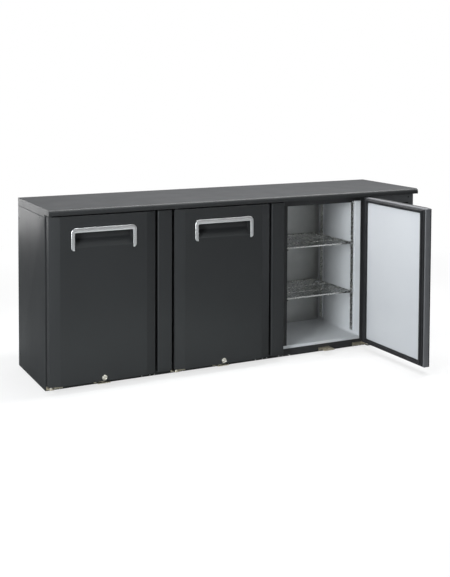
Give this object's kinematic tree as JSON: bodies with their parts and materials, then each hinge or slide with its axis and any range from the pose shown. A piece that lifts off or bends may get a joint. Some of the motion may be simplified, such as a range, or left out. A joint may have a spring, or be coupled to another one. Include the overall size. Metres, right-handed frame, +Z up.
{
  "type": "under counter fridge",
  "caption": "Low, wide under-counter bottle cooler with solid hinged doors, scooped silver pulls, wire shelves and a machine compartment at the right.",
  "frame": {"origin": "on the floor under the middle of the cabinet's footprint, doors shut: the underside of the middle foot", "axes": "+X towards the machine compartment, along the front; +Y from the door fronts to the back; +Z up"},
  "size_m": [2, 0.978, 0.822],
  "materials": {
    "painted": "fine matt powder coat, anthracite",
    "painted_recess": "fine matt powder coat, anthracite",
    "liner_white": "smooth white coated sheet over foam",
    "galvanised": "galvanised sheet",
    "rubber_black": "soft magnetic gasket",
    "door_lining": "smooth glossy white",
    "handle_silver": "satin silver plating",
    "shelf_wire": "bright plated wire",
    "lock_metal": "turned nickel",
    "bracket_steel": "yellow passivated zinc",
    "black_plastic": "fine grained moulding",
    "black_enamel": "glossy black enamel",
    "aluminium": "bare aluminium: stucco embossed rear liner, condenser fins",
    "light_cover": "opal diffuser"
  },
  "bodies": {
    "cabinet": {"side_panel_left": "painted", "side_panel_right": "painted", "back_panel": "galvanised", "base_pan": "galvanised", "wall_left": "liner_white", "wall_right": "liner_white", "wall_rear": "aluminium", "wall_floor": "liner_white", "wall_ceiling": "liner_white", "rail_bottom": "painted_recess", "rail_top": "painted_recess", "stile_left": "painted_recess", "stile_right": "painted_recess", "mullion_1": "painted_recess", "mullion_2": "painted_recess", "pillar_1": "painted", "pillar_2": "painted", "worktop": "painted", "foot_front_left": "black_plastic", "foot_front_right": "black_plastic", "foot_back_left": "black_plastic", "foot_back_right": "black_plastic", "foot_middle": "black_plastic", "machine_panel": "painted", "controller": "black_plastic", "compressor": "black_enamel", "condenser": "aluminium", "power_inlet": "black_plastic", "evaporator_box": "liner_white", "light_bar": "light_cover", "shelf_1_lower": "shelf_wire", "shelf_1_upper": "shelf_wire", "shelf_2_lower": "shelf_wire", "shelf_2_upper": "shelf_wire", "shelf_3_lower": "shelf_wire", "shelf_3_upper": "shelf_wire", "hinge_1": "bracket_steel", "hinge_2": "bracket_steel", "hinge_3": "bracket_steel", "keeper_1": "bracket_steel", "keeper_2": "bracket_steel", "keeper_3": "bracket_steel"},
    "door_1": {"door_1_panel": "painted", "door_1_gasket": "rubber_black", "door_1_inner": "door_lining", "door_1_handle": "handle_silver"},
    "lock_1": {"door_1_lock": "lock_metal"},
    "door_2": {"door_2_panel": "painted", "door_2_gasket": "rubber_black", "door_2_inner": "door_lining", "door_2_handle": "handle_silver"},
    "lock_2": {"door_2_lock": "lock_metal"},
    "door_3": {"door_3_panel": "painted", "door_3_gasket": "rubber_black", "door_3_inner": "door_lining", "door_3_handle": "handle_silver"},
    "lock_3": {"door_3_lock": "lock_metal"},
    "rocker": {"light_switch": "black_plastic"},
    "condenser_wheel": {"condenser_fan": "black_plastic"},
    "evaporator_wheel": {"evaporator_fan": "black_plastic"}
  },
  "joints": [
    {"name": "door_1_hinge", "type": "hinge", "parent": "cabinet", "child": "door_1", "pos_m": [-0.987, -0.233, 0.037], "axis": [0, 0, -1], "range_deg": [0, 105]},
    {"name": "door_2_hinge", "type": "hinge", "parent": "cabinet", "child": "door_2", "pos_m": [-0.385, -0.233, 0.037], "axis": [0, 0, -1], "range_deg": [0, 105]},
    {"name": "door_3_hinge", "type": "hinge", "parent": "cabinet", "child": "door_3", "pos_m": [0.701, -0.233, 0.037], "axis": [0, 0, 1], "range_deg": [-90, 15]},
    {"name": "door_1_lock_turn", "type": "hinge", "parent": "door_1", "child": "lock_1", "pos_m": [-0.745, -0.251, 0.052], "axis": [0, 1, 0], "range_deg": [0, 90]},
    {"name": "door_2_lock_turn", "type": "hinge", "parent": "door_2", "child": "lock_2", "pos_m": [-0.143, -0.251, 0.052], "axis": [0, 1, 0], "range_deg": [0, 90]},
    {"name": "door_3_lock_turn", "type": "hinge", "parent": "door_3", "child": "lock_3", "pos_m": [0.719, -0.475, 0.052], "axis": [-1, 0, 0], "range_deg": [0, 90]},
    {"name": "light_rocker", "type": "hinge", "parent": "cabinet", "child": "rocker", "pos_m": [0.836, -0.205, 0.62], "axis": [1, 0, 0], "range_deg": [0, 12]},
    {"name": "condenser_fan_spin", "type": "hinge", "parent": "cabinet", "child": "condenser_wheel", "pos_m": [0.86, -0.099, 0.165], "axis": [0, 1, 0], "continuous": true},
    {"name": "evaporator_fan_spin", "type": "hinge", "parent": "cabinet", "child": "evaporator_wheel", "pos_m": [-0.143, 0.095, 0.686], "axis": [0, -1, 0], "continuous": true}
  ]
}
